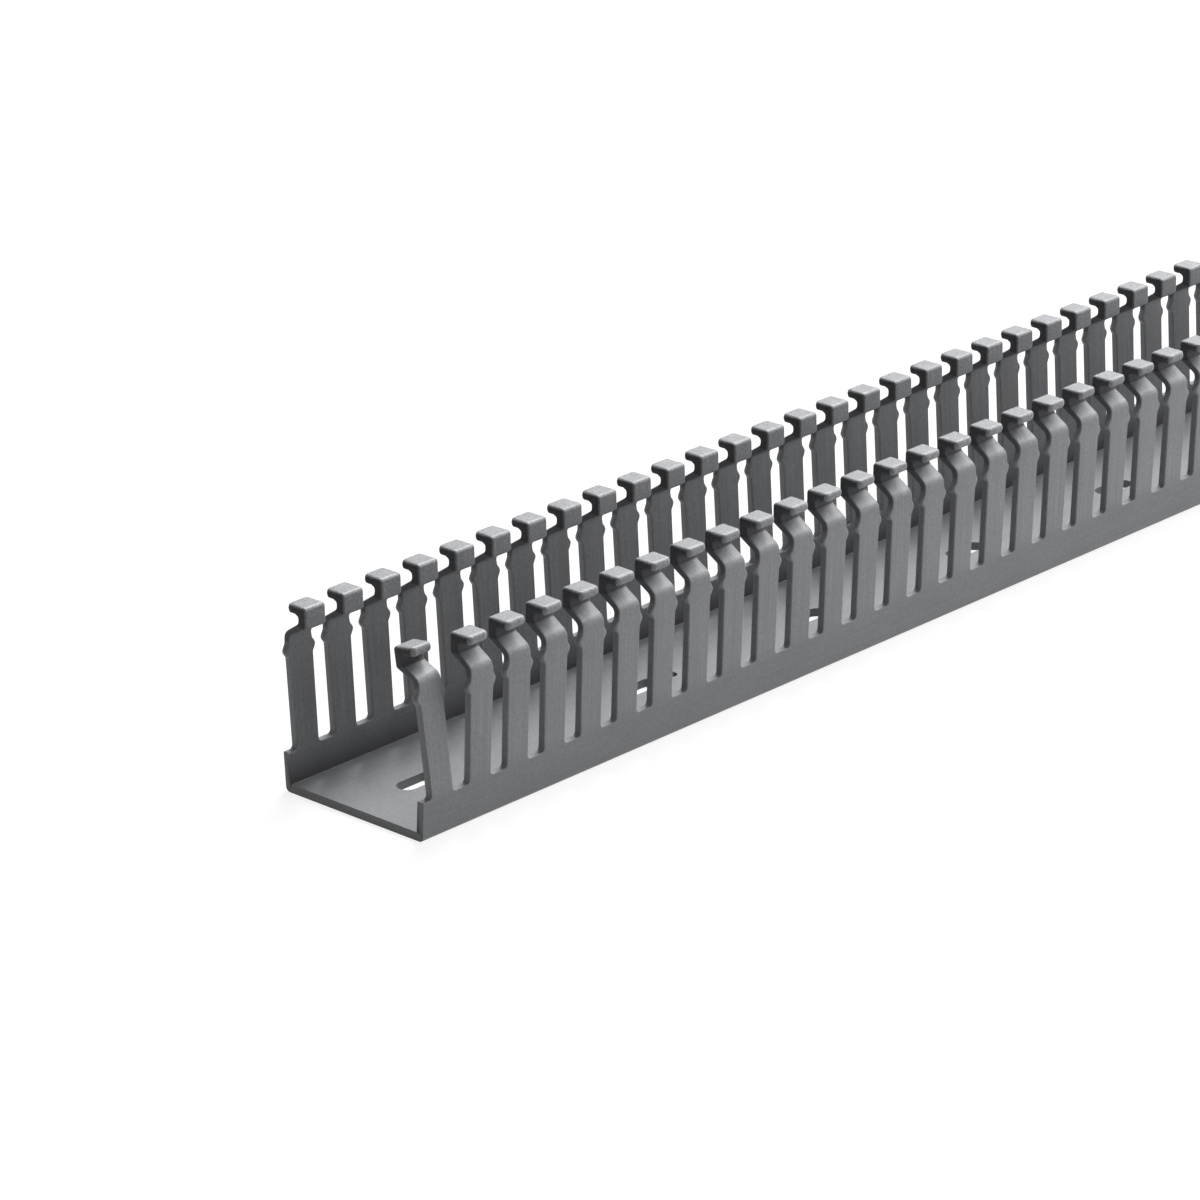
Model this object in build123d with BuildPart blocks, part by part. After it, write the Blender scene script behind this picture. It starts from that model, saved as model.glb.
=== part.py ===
"""Slotted wire duct: an open U channel extruded in rigid plastic, with both walls punched into fingers.

Millimetres. The duct runs along X, its walls stand at -Y and +Y, and it lies on its flat base.
The origin is at the middle of the length, on the centre line of the underside.
"""
from build123d import *
from math import radians, tan
import os

# Stock length, and the pitch that the walls are punched at
length = 1000.0
pitch = 12.5

# Channel below the bend
base_width = 45.4
base_thickness = 2.2
bottom_corner_radius = 1.2
wall_foot_thickness = 2.1
wall_top_thickness = 1.9
wall_lean_angle = 2.8
bend_height = 39.0

# Snap profile above the bend: a shoulder leaning in, an upright neck and a flange facing out
duct_height = 46.6
neck_foot_height = 42.2
head_depth = 6.4
head_setback = 0.9
neck_thickness = 2.6
flange_thickness = 2.4

# Slots between the fingers
slot_floor_height = 10.1
slot_foot_width = 5.4
slot_top_width = 5.0
head_gap = 5.8

# Nubs on the sides of the fingers, which narrow the mouth of each slot
nub_height = 34.5
nub_length = 3.6
nub_reach = 1.2

# Row of slots and round holes along the centre line of the base, measured from the near end
mount_spacing = 62.5
slot_row_offset = 98.5
hole_row_offset = 109.5
mount_slot_length = 13.0
mount_slot_width = 5.5
round_hole_diameter = 3.5

# One more slot just inside the near end
end_slot_offset = 21.5

# The first finger of the -Y wall is bent in at its root
bent_finger_angle = 9.5

# Values that follow from the sizes above
lean = tan(radians(wall_lean_angle))
bend_half_width = base_width / 2 + bend_height * lean
head_outer = bend_half_width - head_setback
head_inner = head_outer - head_depth
neck_outer = head_inner + neck_thickness
inner_foot = base_width / 2 + base_thickness * lean - wall_foot_thickness
inner_bend = bend_half_width - wall_top_thickness
shoulder_slope = (neck_foot_height - bend_height) / (bend_half_width - neck_outer)
shoulder_drop = wall_top_thickness * shoulder_slope
finger_count = round(length / pitch)
near_end = -length / 2
mount_count = int((length - hole_row_offset - round_hole_diameter) / mount_spacing) + 1
slot_clearance = 2.0


def wall_side():
    """One half of the channel's section, from the centre line out, as (y, z) points."""
    flange_under = duct_height - flange_thickness
    return [
        (0, 0),
        (base_width / 2, 0),
        (bend_half_width, bend_height),
        (neck_outer, neck_foot_height),
        (neck_outer, flange_under),
        (head_outer, flange_under),
        (head_outer, duct_height),
        (head_inner, duct_height),
        (head_inner, neck_foot_height - neck_thickness * shoulder_slope / 2),
        (inner_bend, bend_height - shoulder_drop / 2),
        (inner_foot, base_thickness),
        (0, base_thickness),
    ]


def slot_side():
    """Half of the gap between two fingers, from its centre line out, as (x, z) points."""
    foot = slot_foot_width / 2
    top = slot_top_width / 2
    nub = top - nub_reach
    above = duct_height + slot_clearance
    return [
        (0, slot_floor_height),
        (foot, slot_floor_height),
        (top, nub_height - nub_length / 2),
        (nub, nub_height),
        (top, nub_height + nub_length / 2),
        (head_gap / 2, neck_foot_height),
        (head_gap / 2, above),
        (0, above),
    ]


# Channel section, mirrored about the centre line, with its two outer bottom corners rounded
with BuildSketch(Plane.YZ) as channel_section:
    with BuildLine():
        Polyline(*wall_side(), close=True)
    make_face()
    mirror(about=Plane.YZ)
    underside = channel_section.vertices().group_by(Axis.Y)[0].sort_by(Axis.X)
    fillet([underside[0], underside[-1]], radius=bottom_corner_radius)

# Gap between two fingers
with BuildSketch() as finger_gap:
    with BuildLine():
        Polyline(*slot_side(), close=True)
    make_face()
    mirror(about=Plane.YZ)

# A gap at every pitch, half of one at each end, where the stock is cut off
with BuildSketch(Plane.XZ) as finger_gaps:
    with GridLocations(pitch, pitch, finger_count + 1, 1):
        add(finger_gap.sketch)

# Gaps on the two sides of one finger, and the whole finger with them
with BuildSketch(Plane.XZ) as gaps_beside_finger:
    with GridLocations(pitch, pitch, 2, 1):
        add(finger_gap.sketch)

# Slots and round holes in turn along the middle of the base
slot_places = [(near_end + slot_row_offset + i * mount_spacing, 0) for i in range(mount_count)]
hole_places = [(near_end + hole_row_offset + i * mount_spacing, 0) for i in range(mount_count)]
with BuildSketch() as base_holes:
    with Locations((near_end + end_slot_offset, 0), *slot_places):
        SlotOverall(mount_slot_length, mount_slot_width)
    with Locations(*hole_places):
        Circle(round_hole_diameter / 2)

# One finger of the -Y wall, from its root up, bent inwards about the outer edge of the root
root = (0, -base_width / 2 - slot_floor_height * lean, slot_floor_height)
with BuildPart() as bent_finger:
    extrude(channel_section.sketch, amount=pitch / 2, both=True)
    extrude(gaps_beside_finger.sketch, amount=base_width, both=True, mode=Mode.SUBTRACT)
    split(bisect_by=Plane.XY.offset(slot_floor_height), keep=Keep.TOP)
    split(bisect_by=Plane.XZ, keep=Keep.TOP)
bent_finger_place = Location((near_end + pitch / 2, 0, 0))
bent_finger_solid = bent_finger.part.rotate(Axis(root, (1, 0, 0)), -bent_finger_angle)

with BuildPart() as wire_duct:
    extrude(channel_section.sketch, amount=length / 2, both=True)
    extrude(finger_gaps.sketch, amount=base_width, both=True, mode=Mode.SUBTRACT)
    extrude(base_holes.sketch, amount=base_thickness, mode=Mode.SUBTRACT)
    with Locations((near_end + pitch / 2, -base_width / 2, slot_floor_height)):
        Box(pitch, base_width, duct_height, align=(Align.CENTER, Align.CENTER, Align.MIN), mode=Mode.SUBTRACT)
    add(bent_finger_solid.moved(bent_finger_place))

wire_duct.part.label = "wire_duct"
os.makedirs("parts", exist_ok=True)
export_step(wire_duct.part, "parts/wire_duct.step")
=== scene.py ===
"""Looks of the slotted wire duct: its moulded edges, its grey plastic, the studio and the camera."""
import math

import bmesh
import bpy
from mathutils import Matrix, Vector


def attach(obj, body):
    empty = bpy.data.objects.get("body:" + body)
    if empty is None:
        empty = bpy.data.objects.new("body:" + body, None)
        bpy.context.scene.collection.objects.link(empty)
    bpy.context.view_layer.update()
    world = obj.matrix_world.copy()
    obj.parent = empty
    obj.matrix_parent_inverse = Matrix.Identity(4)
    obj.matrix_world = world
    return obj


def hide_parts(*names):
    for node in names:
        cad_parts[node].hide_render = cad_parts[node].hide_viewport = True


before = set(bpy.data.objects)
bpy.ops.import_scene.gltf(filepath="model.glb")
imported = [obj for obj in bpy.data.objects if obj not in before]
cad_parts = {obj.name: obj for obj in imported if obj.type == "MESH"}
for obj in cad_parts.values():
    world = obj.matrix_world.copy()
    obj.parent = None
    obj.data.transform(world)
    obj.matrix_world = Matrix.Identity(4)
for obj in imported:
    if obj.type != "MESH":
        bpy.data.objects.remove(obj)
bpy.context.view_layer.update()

MM = 0.001

# The duct's sizes in millimetres, as in the part
LENGTH = 1000.0
PITCH = 12.5
BASE_HALF = 22.7
BASE_THICKNESS = 2.2
CORNER_RADIUS = 1.2
WALL_FOOT = 2.1
WALL_TOP = 1.9
LEAN = math.tan(math.radians(2.8))
BEND_HEIGHT = 39.0
HEIGHT = 46.6
NECK_FOOT = 42.2
HEAD_DEPTH = 6.4
HEAD_SETBACK = 0.9
NECK_THICKNESS = 2.6
FLANGE_THICKNESS = 2.4
SLOT_FLOOR = 10.1
SLOT_FOOT = 5.4
SLOT_TOP = 5.0
HEAD_GAP = 5.8
NUB_HEIGHT = 34.5
NUB_LENGTH = 3.6
NUB_REACH = 1.2
MOUNT_SPACING = 62.5
END_SLOT_OFFSET = 21.5
SLOT_ROW_OFFSET = 98.5
HOLE_ROW_OFFSET = 109.5
MOUNT_SLOT_LENGTH = 13.0
MOUNT_SLOT_WIDTH = 5.5
HOLE_DIAMETER = 3.5
BENT_ANGLE = math.radians(9.5)

# Rounding that the part leaves to the surface, in millimetres
INNER_CORNER_RADIUS = 0.2
SLOT_FILLET = 0.9
BEND_RADIUS = 2.4
INNER_BEND_RADIUS = 1.6
NECK_FILLET = 1.5
GROOVE_FILLET = 0.7
HEAD_RADIUS = 0.95
HEAD_CORNER = 0.8
TIP_RADIUS = 1.35
BENT_ROOT_LENGTH = 2.5

# Rounding of the finger's long edges, in millimetres: on the wall, at a nub, and from the bend up
EDGE_RADIUS = 0.3
NUB_EDGE_GAIN = 0.5
OUTER_EDGE = 0.35
INNER_EDGES = (0.35, 0.5, 0.6)

# Steps of the rounded forms: an edge, a bend, a fillet, the base's corner, half of a hole
ROUNDING_STEPS = 2
ARC_STEPS = 4
FILLET_STEPS = 3
CORNER_STEPS = 6
HOLE_STEPS = 12

# Rings of a nub, as shares of half its length, and the power of its curve
NUB_RINGS = (-1, -0.72, -0.42, 0, 0.42, 0.72, 1)
NUB_POWER = 1.5

# Slices of the flange, as distances from its tip in millimetres, and how many lie in the groove's shade
FLANGE_SLICES = (3.0, TIP_RADIUS, 0.95, 0.6, 0.32, 0.11, 0.0)
SHADED_SLICES = 3

# Which of a finger's rings starts the bend and the neck, and which is the first past the groove's shade
BEND_RING = FILLET_STEPS + 1 + len(NUB_RINGS)
NECK_RING = BEND_RING + ARC_STEPS + 1
GROOVE_END = NECK_RING + 2 * (ARC_STEPS + 1) + SHADED_SLICES

# Where a ring's points on the two skins stand in its list
OUTER_SKIN = 0
INNER_SKIN = -1

# How strongly shade is painted on the places that light hardly reaches, from 0 to 1
GROOVE_SHADE_PAINT = 1.0
GROOVE_START_SHADE_PAINT = 0.35
SHOULDER_SIDE_SHADE_PAINT = 0.7
WALL_FOOT_SHADE_PAINT = 1.0

# Cleaning of the mesh: millimetres between two points of a hole, metres between two merged vertices
SAME_POINT = 1e-6
MERGE_DISTANCE = 2e-6
SHARP_ANGLE = math.radians(50)
NORMAL_WEIGHT = 80

# Values that follow from the sizes
BEND_HALF = BASE_HALF + BEND_HEIGHT * LEAN
HEAD_OUTER = BEND_HALF - HEAD_SETBACK
HEAD_INNER = HEAD_OUTER - HEAD_DEPTH
NECK_OUTER = HEAD_INNER + NECK_THICKNESS
INNER_FOOT = BASE_HALF + BASE_THICKNESS * LEAN - WALL_FOOT
INNER_BEND = BEND_HALF - WALL_TOP
SHOULDER_SLOPE = (NECK_FOOT - BEND_HEIGHT) / (BEND_HALF - NECK_OUTER)
INNER_BEND_HEIGHT = BEND_HEIGHT - WALL_TOP * SHOULDER_SLOPE / 2
INNER_NECK_FOOT = NECK_FOOT - NECK_THICKNESS * SHOULDER_SLOPE / 2
FLANGE_UNDER = HEIGHT - FLANGE_THICKNESS
FINGERS = round(LENGTH / PITCH)
NEAR_END = -LENGTH / 2
MOUNT_COUNT = int((LENGTH - HOLE_ROW_OFFSET - HOLE_DIAMETER) / MOUNT_SPACING) + 1

# Noises of the plastic: cells to the metre along x, y and z, and detail
MOTTLE = ((70, 70, 70), 3.0)
GRAIN = ((1500, 1500, 1500), 3.0)
DRAWN_STREAKS = ((14, 1300, 1300), 2.0)
UPRIGHT_STREAKS = ((1500, 200, 26), 2.0)
PATCHES = ((260, 260, 260), 2.0)

# Heights in millimetres between which the look of the web gives way to that of the fingers
FINGER_START = (SLOT_FLOOR - 1, SLOT_FLOOR + 3)

# Colour and tone of the plastic, and how far each noise or mark moves the tone
PLASTIC_COLOUR = (0.22, 0.225, 0.235)
MOTTLE_TONE = 0.22
GRAIN_TONE = 0.6
HEAD_GRAIN_TONE = 0.9
STREAK_TONE = 0.4
DRAWN_SHARE = 0.55
# Painted shade: the web is painted darker than the fingers above it, darker towards the floor
WEB_PAINTED_SHADE = 0.90
FINGER_SHADE_LIFT = 0.15
WORN_TONE = 0.3
# Painted shade: how far the shade marks darken the tone
PAINTED_SHADE_TONE = -0.64

# Gloss and relief of the plastic, with the relief in metres
PLASTIC_IOR = 1.54
ROUGHNESS = 0.32
GRAIN_ROUGHNESS = 0.3
PAINTED_SHADE_ROUGHNESS = 0.5
WORN_ROUGHNESS = 0.2
RELIEF = 4e-5

# Floor, world, lamps and the camera's reach, with lengths in metres
FLOOR_REACH = 4.0
FLOOR_SHADOW = (0.2, 0.2, 0.2, 1)
FLOOR_GLOW = 0.84
FLOOR_BOUNCE = (0.35, 0.35, 0.35, 1)
WHITE = (1, 1, 1, 1)
LAMP_TARGET = (-0.3, 0, 0)
LAMP_DISTANCE = 1.8
LAMP_SIZE = 0.7
CLIP_END = 50

# View of the photograph: angles in degrees, place and sensor in millimetres, focal length in pixels
CAMERA_AZIMUTH = -46.707
CAMERA_ELEVATION = 21.562
CAMERA_ROLL = -0.676
CAMERA_PLACE = (NEAR_END - 810.277, -843.02, 515.097)
FOCAL_PX = 5470.0
FRAME_PX = 1200.0
SENSOR_WIDTH = 36.0


def arc_at(before, corner, after, radius, steps):
    """Points and outward side of an arc that rounds one corner of a (y, z) outline."""
    a, c, b = Vector(before), Vector(corner), Vector(after)
    into = (c - a).normalized()
    out = (b - c).normalized()
    turn = math.atan2(into.x * out.y - into.y * out.x, into.dot(out))
    side = math.copysign(1.0, turn)
    reach = radius * math.tan(abs(turn) / 2)
    start = c - into * reach
    centre = start + Vector((-into.y, into.x)) * radius * side
    arm = start - centre
    points = []
    for i in range(steps + 1):
        angle = turn * i / steps
        turned = Vector((arm.x * math.cos(angle) - arm.y * math.sin(angle),
                         arm.x * math.sin(angle) + arm.y * math.cos(angle)))
        points.append((centre + turned, turned.normalized() * -side))
    return points


def outer_y(z):
    """Where the outer face of the wall is at one height."""
    return BASE_HALF + z * LEAN


def inner_y(z):
    """Where the inner face of the wall is at one height."""
    share = (z - BASE_THICKNESS) / (INNER_BEND_HEIGHT - BASE_THICKNESS)
    return INNER_FOOT + (INNER_BEND - INNER_FOOT) * share


def face_normal(y_of, sign):
    """Unit normal (y, z) of a straight face given by its y at each height."""
    slope = y_of(1.0) - y_of(0.0)
    return Vector((sign, -sign * slope)).normalized()


def straight_half_width(z):
    """Half the finger's width at one height, without its nubs."""
    foot = (PITCH - SLOT_FOOT) / 2
    top = (PITCH - SLOT_TOP) / 2
    head = (PITCH - HEAD_GAP) / 2
    nub_foot = NUB_HEIGHT - NUB_LENGTH / 2
    nub_end = NUB_HEIGHT + NUB_LENGTH / 2
    if z < nub_end:
        return foot + (top - foot) * min((z - SLOT_FLOOR) / (nub_foot - SLOT_FLOOR), 1.0)
    return top + (head - top) * min((z - nub_end) / (NECK_FOOT - nub_end), 1.0)


def head_half_width(y):
    """Half the flange's width, which narrows in an arc towards its tip."""
    short = min(max(TIP_RADIUS - (HEAD_OUTER - y), 0.0), TIP_RADIUS)
    return (PITCH - HEAD_GAP) / 2 - TIP_RADIUS + math.sqrt(TIP_RADIUS ** 2 - short ** 2)


def nub_share(z):
    """How far out the nub stands at one height, from 0 to 1."""
    u = min(abs(z - NUB_HEIGHT) / (NUB_LENGTH / 2), 1.0)
    return math.cos(math.pi / 2 * u) ** NUB_POWER


def wall_rings():
    """Rings up the straight wall, from the gap's floor to the top of the nubs.

    A ring holds the finger's half width, the direction (x, z) of its side and, for its outer and inner
    skin, a point (y, z), the skin's normal and the radius of the edge between the skin and the side.
    """
    outer_normal = face_normal(outer_y, 1)
    inner_normal = face_normal(inner_y, -1)
    foot = straight_half_width(SLOT_FLOOR)
    rings = []
    for i in range(FILLET_STEPS + 1):
        t = math.pi / 2 * i / FILLET_STEPS
        half = foot + SLOT_FILLET * (1 - math.sin(t))
        z = SLOT_FLOOR + SLOT_FILLET * (1 - math.cos(t))
        rings.append((half, z, (math.sin(t), math.cos(t)), EDGE_RADIUS))
    for u in NUB_RINGS:
        z = NUB_HEIGHT + u * NUB_LENGTH / 2
        share = nub_share(z)
        half = straight_half_width(z) + NUB_REACH * share
        rings.append((half, z, (1, 0), EDGE_RADIUS + NUB_EDGE_GAIN * share))
    return [
        {"half": half, "side": side,
         "outer": (Vector((outer_y(z), z)), outer_normal, edge),
         "inner": (Vector((inner_y(z), z)), inner_normal, edge)}
        for half, z, side, edge in rings
    ]


def shoulder_rings():
    """Rings round the bend, the foot of the neck, and the groove and top of the head."""
    outer = [(outer_y(SLOT_FLOOR), SLOT_FLOOR), (BEND_HALF, BEND_HEIGHT),
             (NECK_OUTER, NECK_FOOT), (NECK_OUTER, FLANGE_UNDER), (HEAD_OUTER, FLANGE_UNDER)]
    inner = [(inner_y(SLOT_FLOOR), SLOT_FLOOR), (INNER_BEND, INNER_BEND_HEIGHT),
             (HEAD_INNER, INNER_NECK_FOOT), (HEAD_INNER, HEIGHT), (HEAD_OUTER, HEIGHT)]
    outer_radii = (BEND_RADIUS, NECK_FILLET, GROOVE_FILLET)
    inner_radii = (INNER_BEND_RADIUS, HEAD_RADIUS, HEAD_RADIUS)
    rings = []
    for n, inner_edge in enumerate(INNER_EDGES):
        outer_arc = arc_at(*outer[n:n + 3], outer_radii[n], ARC_STEPS)
        inner_arc = arc_at(*inner[n:n + 3], inner_radii[n], ARC_STEPS)
        for (outer_point, outer_normal), (inner_point, inner_normal) in zip(outer_arc, inner_arc):
            # Both normals are turned away from the other skin
            across = outer_point - inner_point
            if outer_normal.dot(across) < 0:
                outer_normal = -outer_normal
            if inner_normal.dot(across) > 0:
                inner_normal = -inner_normal
            rings.append({"half": straight_half_width(outer_point.y), "side": (1, 0),
                          "outer": (outer_point, outer_normal, OUTER_EDGE),
                          "inner": (inner_point, inner_normal, inner_edge)})
    return rings


def flange_rings():
    """Rings along the flange, which narrows in width and in thickness towards its tip."""
    rings = []
    for back in FLANGE_SLICES:
        y = HEAD_OUTER - back
        short = max(HEAD_RADIUS - back, 0.0)
        drop = HEAD_RADIUS - math.sqrt(HEAD_RADIUS ** 2 - short ** 2)
        edge = min(HEAD_CORNER, FLANGE_THICKNESS / 2 - drop)
        rings.append({"half": head_half_width(y), "side": (1, 0),
                      "outer": (Vector((y, FLANGE_UNDER + drop)), Vector((0, -1)), edge),
                      "inner": (Vector((y, HEIGHT - drop)), Vector((0, 1)), edge)})
    return rings


def ring_points(ring, hand):
    """The ring's points on its right (1) or left (-1) side, from the outer skin to the inner skin."""
    points = []
    side_x, side_z = ring["side"]
    for skin, order in (("outer", range(ROUNDING_STEPS + 1)), ("inner", range(ROUNDING_STEPS, -1, -1))):
        place, normal, edge = ring[skin]
        upright = abs(normal.x) > abs(normal.y)
        lean = -normal.y / normal.x if upright else 0.0
        for j in order:
            phi = math.pi / 2 * j / ROUNDING_STEPS
            back = edge * (1 - math.sin(phi))
            inset = edge * (1 - math.cos(phi))
            x = ring["half"] - side_x * back
            y = place.x - side_z * back * lean - normal.x * inset
            z = place.y - side_z * back - normal.y * inset
            points.append((hand * x, y, z))
    return points


def mark_ring(verts, marks, wear, groove_shade, side):
    """Mark the middle of a ring's rounded edges as worn, and paint shade on its outer skin and its side.
    """
    middle = ROUNDING_STEPS // 2
    for v in (verts[middle], verts[-1 - middle]):
        v[marks["worn"]] = wear
    # Shade is painted on the outer skin, and beside the shoulder on the side too
    for v in verts[:ROUNDING_STEPS]:
        v[marks["painted_shade"]] = groove_shade
    for v in verts[ROUNDING_STEPS:ROUNDING_STEPS + 2]:
        v[marks["painted_shade"]] = max(groove_shade, side)


def mark_finger(chains, marks):
    """Mark a finger as worn up to its neck, and paint shade in its groove and beside its shoulder."""
    for chain in chains:
        for k, verts in enumerate(chain):
            wear = 1.0 if k <= NECK_RING else 0.0
            # Shade is painted beside the shoulder and, under the flange, in the groove
            side = SHOULDER_SIDE_SHADE_PAINT if BEND_RING <= k <= NECK_RING + ARC_STEPS else 0.0
            groove_shade = 0.0
            if k == NECK_RING:
                groove_shade = GROOVE_START_SHADE_PAINT
            elif NECK_RING < k < GROOVE_END:
                groove_shade = GROOVE_SHADE_PAINT
            mark_ring(verts, marks, wear, groove_shade, side)


def bent_in(y, z):
    """Where a point above the slot's floor goes when its finger is bent in about its outer root."""
    share = min((z - SLOT_FLOOR) / BENT_ROOT_LENGTH, 1.0)
    angle = BENT_ANGLE * share * share * (3 - 2 * share)
    root = outer_y(SLOT_FLOOR)
    dy, dz = y - root, z - SLOT_FLOOR
    return (root + dy * math.cos(angle) - dz * math.sin(angle),
            SLOT_FLOOR + dy * math.sin(angle) + dz * math.cos(angle))


def finger_faces(left, right, far_left, far_right):
    """Faces round one finger, and along the gap's floor to the two far edges of its pitch."""
    faces = []
    for chain, far in ((right, far_right), (left, far_left)):
        for a, b in zip([far] + chain[:-1], chain):
            for j in range(len(a) - 1):
                faces.append((a[j], a[j + 1], b[j + 1], b[j]))
    for k in range(len(left) - 1):
        for skin in (OUTER_SKIN, INNER_SKIN):
            faces.append((left[k][skin], right[k][skin], right[k + 1][skin], left[k + 1][skin]))
    # The flange's tip
    tips = (left[-1], right[-1])
    for tip in tips:
        for j in range(ROUNDING_STEPS):
            faces.append((tip[j], tip[j + 1], tip[-2 - j], tip[-1 - j]))
    faces.append((tips[0][OUTER_SKIN], tips[1][OUTER_SKIN], tips[1][INNER_SKIN], tips[0][INNER_SKIN]))
    return faces


def web_profiles():
    """The web's outer face down round the base's corner, and its inner face down round the fillet."""
    outer = arc_at((BASE_HALF, SLOT_FLOOR), (BASE_HALF, 0), (0, 0), CORNER_RADIUS, CORNER_STEPS)
    inner = arc_at((INNER_FOOT, SLOT_FLOOR), (INNER_FOOT, BASE_THICKNESS), (0, BASE_THICKNESS),
                   INNER_CORNER_RADIUS, FILLET_STEPS)
    inner_lean = inner_y(1) - inner_y(0)
    return ([Vector((p.x + max(p.y, 0) * LEAN, p.y)) for p, _ in outer],
            [Vector((p.x + (p.y - BASE_THICKNESS) * inner_lean, p.y)) for p, _ in inner])


def build_module(bm, x0, wall, bend, marks):
    """One pitch of the +Y (1) or -Y (-1) wall: the web below, and the finger on it, bent in or not."""
    def vert(p):
        """A vertex at one of the module's own points, in millimetres."""
        x, y, z = p
        if bend and z > SLOT_FLOOR:
            y, z = bent_in(y, z)
        return bm.verts.new(((x0 + x) * MM, wall * y * MM, z * MM))

    half = PITCH / 2
    rings = wall_rings() + shoulder_rings() + flange_rings()
    right = [[vert(p) for p in ring_points(r, 1)] for r in rings]
    left = [[vert(p) for p in ring_points(r, -1)] for r in rings]
    mark_finger((right, left), marks)
    far = dict(rings[0], half=half)
    far_right = [vert(p) for p in ring_points(far, 1)]
    far_left = [vert(p) for p in ring_points(far, -1)]
    faces = finger_faces(left, right, far_left, far_right)
    for skin, profile in zip((OUTER_SKIN, INNER_SKIN), web_profiles()):
        rows = [(vert((-half, p.x, p.y)), vert((half, p.x, p.y))) for p in profile]
        faces.append((*rows[0], far_right[skin], right[0][skin], left[0][skin], far_left[skin]))
        for a, b in zip(rows, rows[1:]):
            faces.append((a[0], a[1], b[1], b[0]))
        # Shade is painted on the foot of the wall's inner face
        if skin == INNER_SKIN:
            for v in rows[0] + rows[1]:
                v[marks["painted_shade"]] = WALL_FOOT_SHADE_PAINT
    for f in faces:
        bm.faces.new(f)


def hole_outline(x, length, width):
    """Points of a round-ended hole of the base, or of a round one where its length is its width."""
    r = width / 2
    reach = length / 2 - r
    points = []
    for side in (1, -1):
        for i in range(HOLE_STEPS + 1):
            a = -math.pi / 2 + math.pi * i / HOLE_STEPS
            point = (x + side * (reach + r * math.cos(a)), side * r * math.sin(a))
            if not points or math.dist(points[-1], point) > SAME_POINT:
                points.append(point)
    if math.dist(points[0], points[-1]) < SAME_POINT:
        points.pop()
    return points


def base_holes():
    """Outlines of all the holes along the base."""
    outlines = [hole_outline(NEAR_END + END_SLOT_OFFSET, MOUNT_SLOT_LENGTH, MOUNT_SLOT_WIDTH)]
    for i in range(MOUNT_COUNT):
        x = NEAR_END + i * MOUNT_SPACING
        outlines.append(hole_outline(x + SLOT_ROW_OFFSET, MOUNT_SLOT_LENGTH, MOUNT_SLOT_WIDTH))
        outlines.append(hole_outline(x + HOLE_ROW_OFFSET, HOLE_DIAMETER, HOLE_DIAMETER))
    return outlines


def fill_base(bm, z, half):
    """One face of the base, between the walls' two long edges, with the holes left open."""
    edges = []
    xs = [NEAR_END + PITCH * i for i in range(FINGERS + 1)]
    loop = [(x, -half) for x in xs] + [(x, half) for x in reversed(xs)]
    for outline in [loop] + base_holes():
        verts = [bm.verts.new((x * MM, y * MM, z * MM)) for x, y in outline]
        edges += [bm.edges.new((a, b)) for a, b in zip(verts, verts[1:] + verts[:1])]
    bmesh.ops.triangle_fill(bm, edges=edges, use_beauty=True, use_dissolve=False)


def build_base(bm):
    """The base's upper and lower face, and the sides of its holes."""
    fill_base(bm, BASE_THICKNESS, INNER_FOOT - INNER_CORNER_RADIUS)
    fill_base(bm, 0.0, BASE_HALF - CORNER_RADIUS)
    for outline in base_holes():
        low = [bm.verts.new((x * MM, y * MM, 0)) for x, y in outline]
        high = [bm.verts.new((x * MM, y * MM, BASE_THICKNESS * MM)) for x, y in outline]
        for i in range(len(outline)):
            j = (i + 1) % len(outline)
            bm.faces.new((low[i], low[j], high[j], high[i]))


def close_mesh(bm):
    """Merge what meets, close the two cut ends, and shade all but the sharp edges smooth."""
    bmesh.ops.remove_doubles(bm, verts=bm.verts, dist=MERGE_DISTANCE)
    ends = [e for e in bm.edges if e.is_boundary]
    bmesh.ops.holes_fill(bm, edges=ends, sides=0)
    bmesh.ops.recalc_face_normals(bm, faces=bm.faces)
    for f in bm.faces:
        f.smooth = True
    for e in bm.edges:
        if len(e.link_faces) == 2 and e.calc_face_angle() > SHARP_ANGLE:
            e.smooth = False


def new_object(name, data):
    """An object of the scene, from a mesh, a light or a camera."""
    thing = bpy.data.objects.new(name, data)
    bpy.context.scene.collection.objects.link(thing)
    return thing


def mesh_object(name, bm):
    """An object of the scene, from a mesh that is ready."""
    mesh = bpy.data.meshes.new(name)
    bm.to_mesh(mesh)
    bm.free()
    return new_object(name, mesh)


def build_duct():
    """The whole duct as one closed mesh."""
    bm = bmesh.new()
    marks = {name: bm.verts.layers.float.new(name) for name in ("worn", "painted_shade")}
    for n in range(FINGERS):
        x0 = NEAR_END + PITCH * (n + 0.5)
        build_module(bm, x0, wall=1, bend=False, marks=marks)
        build_module(bm, x0, wall=-1, bend=n == 0, marks=marks)
    build_base(bm)
    close_mesh(bm)
    duct = mesh_object("duct_body", bm)
    weighted = duct.modifiers.new("weighted_normals", "WEIGHTED_NORMAL")
    weighted.keep_sharp = True
    weighted.weight = NORMAL_WEIGHT
    return duct


def fill(tree, socket, value):
    """Set a socket to a constant, or join it to another node's output."""
    if isinstance(value, bpy.types.NodeSocket):
        tree.links.new(value, socket)
    else:
        socket.default_value = value


def add_node(tree, kind, *values, operation=None, **named):
    """A new node, with its first inputs filled in order and others by name."""
    node = tree.nodes.new(kind)
    if operation:
        node.operation = operation
    for socket, value in zip(node.inputs, values):
        fill(tree, socket, value)
    for name, value in named.items():
        fill(tree, node.inputs[name], value)
    return node


def calc(tree, operation, *values):
    """The result of a sum, product or the like."""
    return add_node(tree, "ShaderNodeMath", *values, operation=operation).outputs[0]


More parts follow.
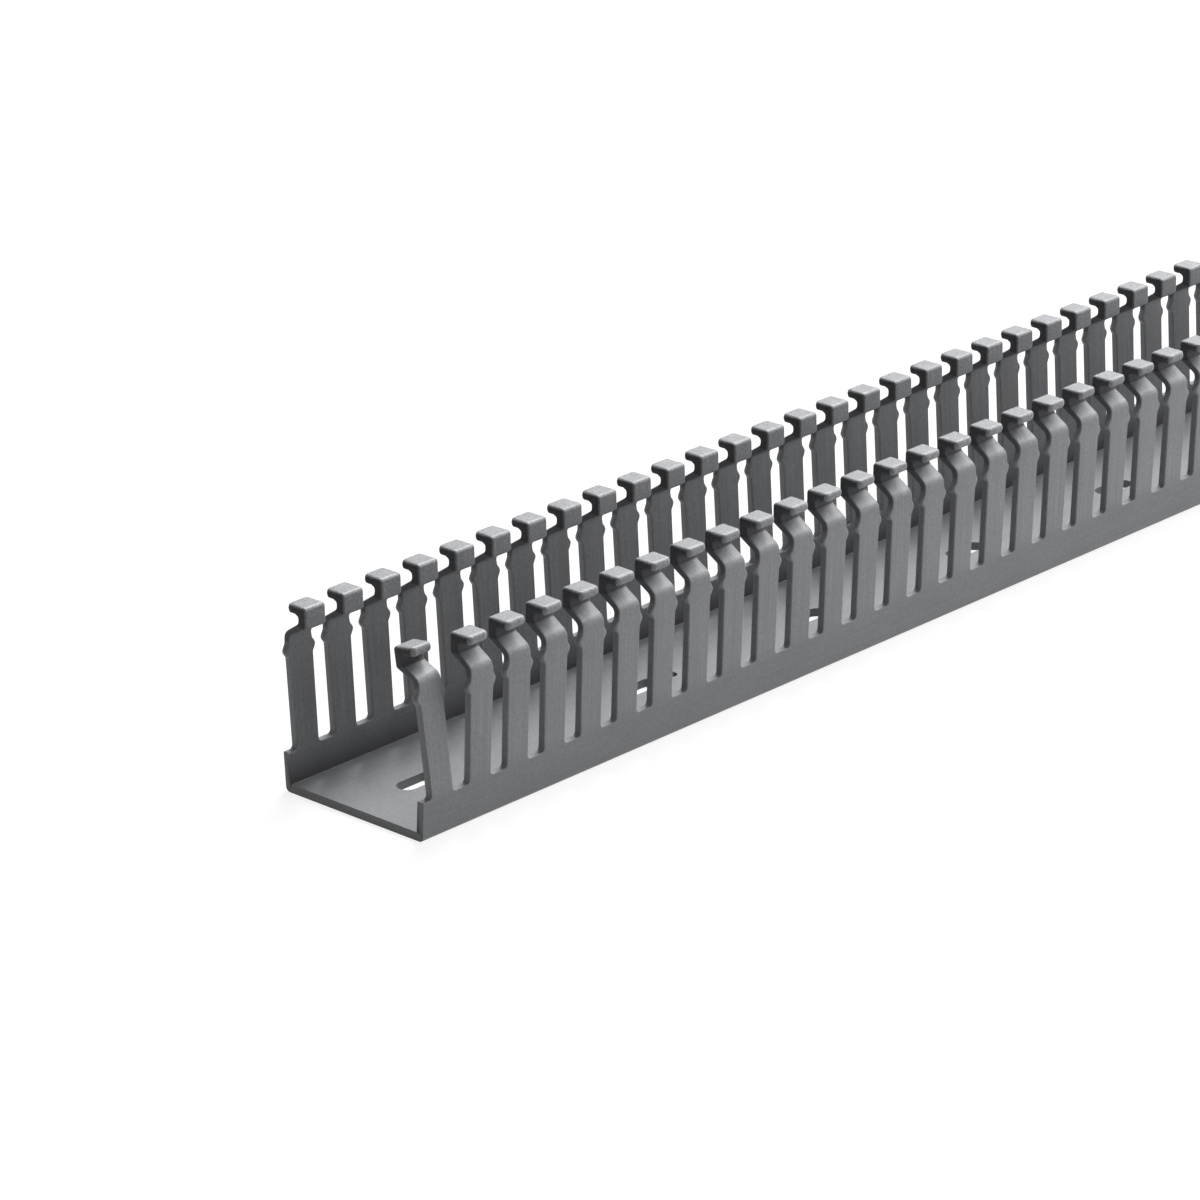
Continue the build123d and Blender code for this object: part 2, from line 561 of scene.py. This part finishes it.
def noise(tree, place, cells, detail):
    """Noise over the part, with so many cells to the metre along each axis."""
    stretched = add_node(tree, "ShaderNodeVectorMath", place, cells, operation="MULTIPLY")
    texture = add_node(tree, "ShaderNodeTexNoise", Vector=stretched.outputs[0], Scale=1.0, Detail=detail)
    return texture.outputs[0]


def about_one(tree, source, amount):
    """A factor about 1 that follows a noise."""
    return calc(tree, "MULTIPLY_ADD", source, amount, 1.0 - amount / 2)


def height_ramp(tree, height, low, high):
    """A factor that rises from 0 to 1 between two heights in millimetres."""
    return add_node(tree, "ShaderNodeMapRange", height, low * MM, high * MM).outputs[0]


def mark(tree, name):
    """One of the marks on the mesh."""
    node = tree.nodes.new("ShaderNodeAttribute")
    node.attribute_name = name
    return node.outputs["Fac"]


def plastic_material():
    """Grey rigid plastic: fine grain, streaks along the web and up the fingers, worn places and painted
    shade.
    """
    material = bpy.data.materials.new("duct_plastic")
    material.use_nodes = True
    tree = material.node_tree
    place = tree.nodes.new("ShaderNodeTexCoord").outputs["Object"]
    height = add_node(tree, "ShaderNodeSeparateXYZ", place).outputs["Z"]
    on_finger = height_ramp(tree, height, *FINGER_START)
    on_head = height_ramp(tree, height, NECK_FOOT, FLANGE_UNDER)
    grain = noise(tree, place, *GRAIN)
    upright = noise(tree, place, *UPRIGHT_STREAKS)
    drawn = noise(tree, place, *DRAWN_STREAKS)
    drawn = calc(tree, "MULTIPLY_ADD", drawn, DRAWN_SHARE, (1 - DRAWN_SHARE) / 2)
    streaks = add_node(tree, "ShaderNodeMix", Factor=on_finger, A=drawn, B=upright).outputs[0]
    wear = calc(tree, "MULTIPLY", mark(tree, "worn"), noise(tree, place, *PATCHES))
    painted_shade = mark(tree, "painted_shade")

    grain_amount = calc(tree, "MULTIPLY_ADD", on_head, HEAD_GRAIN_TONE, GRAIN_TONE)
    factors = (
        calc(tree, "MULTIPLY_ADD", calc(tree, "SUBTRACT", grain, 0.5), grain_amount, 1.0),
        about_one(tree, streaks, STREAK_TONE),
        # Painted shade: the web darker than the fingers
        calc(tree, "MULTIPLY_ADD", on_finger, FINGER_SHADE_LIFT, WEB_PAINTED_SHADE),
        calc(tree, "MULTIPLY_ADD", wear, WORN_TONE, 1.0),
        # Painted shade in the groove, beside the shoulders and at the wall's foot
        calc(tree, "MULTIPLY_ADD", painted_shade, PAINTED_SHADE_TONE, 1.0),
    )
    tone = about_one(tree, noise(tree, place, *MOTTLE), MOTTLE_TONE)
    for factor in factors:
        tone = calc(tree, "MULTIPLY", tone, factor)
    colour = add_node(tree, "ShaderNodeVectorMath", PLASTIC_COLOUR, operation="SCALE", Scale=tone)

    rough = calc(tree, "MULTIPLY_ADD", grain, GRAIN_ROUGHNESS, ROUGHNESS)
    rough = calc(tree, "MULTIPLY_ADD", painted_shade, PAINTED_SHADE_ROUGHNESS, rough)
    rough = calc(tree, "MULTIPLY_ADD", wear, WORN_ROUGHNESS, rough)
    relief = calc(tree, "ADD", grain, streaks)
    bump = add_node(tree, "ShaderNodeBump", Strength=1.0, Distance=RELIEF, Height=relief)
    shader = tree.nodes["Principled BSDF"]
    fill(tree, shader.inputs["Base Color"], colour.outputs[0])
    fill(tree, shader.inputs["Roughness"], rough)
    fill(tree, shader.inputs["IOR"], PLASTIC_IOR)
    fill(tree, shader.inputs["Normal"], bump.outputs[0])
    return material


def floor_material():
    """White with a faint shadow to the camera, white in reflections, and grey to light that bounces."""
    material = bpy.data.materials.new("floor_white")
    material.use_nodes = True
    tree = material.node_tree
    tree.nodes.clear()
    path = tree.nodes.new("ShaderNodeLightPath").outputs
    shadowed = add_node(tree, "ShaderNodeBsdfDiffuse", Color=FLOOR_SHADOW).outputs[0]
    glow = add_node(tree, "ShaderNodeEmission", Strength=FLOOR_GLOW).outputs[0]
    seen = add_node(tree, "ShaderNodeAddShader", shadowed, glow).outputs[0]
    bounce = add_node(tree, "ShaderNodeBsdfDiffuse", Color=FLOOR_BOUNCE).outputs[0]
    white = add_node(tree, "ShaderNodeEmission", Strength=1.0).outputs[0]
    mirrored = calc(tree, "MAXIMUM", path["Is Glossy Ray"], path["Is Transmission Ray"])
    unseen = add_node(tree, "ShaderNodeMixShader", mirrored, bounce, white).outputs[0]
    surface = add_node(tree, "ShaderNodeMixShader", path["Is Camera Ray"], unseen, seen).outputs[0]
    add_node(tree, "ShaderNodeOutputMaterial", Surface=surface)
    return material


def studio_floor():
    """A wide flat floor under the duct."""
    bm = bmesh.new()
    bmesh.ops.create_grid(bm, x_segments=1, y_segments=1, size=FLOOR_REACH)
    floor = mesh_object("floor", bm)
    floor.data.materials.append(floor_material())


def studio_world():
    """A world that shows as white to the camera and in reflections, and lights nothing."""
    world = bpy.data.worlds.new("studio")
    bpy.context.scene.world = world
    world.use_nodes = True
    tree = world.node_tree
    path = tree.nodes.new("ShaderNodeLightPath").outputs
    mirrored = calc(tree, "MAXIMUM", path["Is Glossy Ray"], path["Is Transmission Ray"])
    background = tree.nodes["Background"]
    fill(tree, background.inputs["Color"], WHITE)
    fill(tree, background.inputs["Strength"], calc(tree, "MAXIMUM", path["Is Camera Ray"], mirrored))


def direction(azimuth, elevation):
    """Unit vector from the duct, at degrees round from its -Y side towards +X, and up from the floor."""
    a, e = math.radians(azimuth), math.radians(elevation)
    return Vector((math.sin(a) * math.cos(e), -math.cos(a) * math.cos(e), math.sin(e)))


def lamp(name, azimuth, elevation, power):
    """A square soft lamp that faces the duct's nearer half, with its power in watts."""
    out = direction(azimuth, elevation)
    data = bpy.data.lights.new(name, "AREA")
    data.shape = "SQUARE"
    data.size = LAMP_SIZE
    data.energy = power
    light = new_object(name, data)
    light.location = Vector(LAMP_TARGET) + out * LAMP_DISTANCE
    light.rotation_euler = out.to_track_quat("Z", "Y").to_euler()
    return light


def camera():
    """The photograph's view, from its direction, place and focal length."""
    data = bpy.data.cameras.new("camera")
    data.sensor_width = SENSOR_WIDTH
    data.lens = SENSOR_WIDTH * FOCAL_PX / FRAME_PX
    data.clip_end = CLIP_END
    back = direction(CAMERA_AZIMUTH, CAMERA_ELEVATION)
    right = Vector((0, 0, 1)).cross(back).normalized()
    up = back.cross(right)
    roll = math.radians(CAMERA_ROLL)
    turned_right = right * math.cos(roll) + up * math.sin(roll)
    turned_up = up * math.cos(roll) - right * math.sin(roll)
    axes = Matrix((turned_right, turned_up, back)).transposed().to_4x4()
    view = new_object("camera", data)
    view.matrix_world = Matrix.Translation(Vector(CAMERA_PLACE) * MM) @ axes
    bpy.context.scene.camera = view


duct = build_duct()
duct.data.materials.append(plastic_material())
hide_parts("wire_duct")
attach(duct, "root")
studio_floor()
studio_world()
lamp("overhead", azimuth=90, elevation=70, power=9.0)
lamp("overhead_back", azimuth=120, elevation=60, power=35.0)
lamp("side", azimuth=90, elevation=40, power=11.7)
lamp("side_front", azimuth=60, elevation=45, power=6.9)
lamp("front", azimuth=0, elevation=25, power=1.7)
low = lamp("low", azimuth=60, elevation=6, power=28.5)
low.visible_glossy = False
camera()
bpy.context.scene.view_settings.view_transform = "Standard"
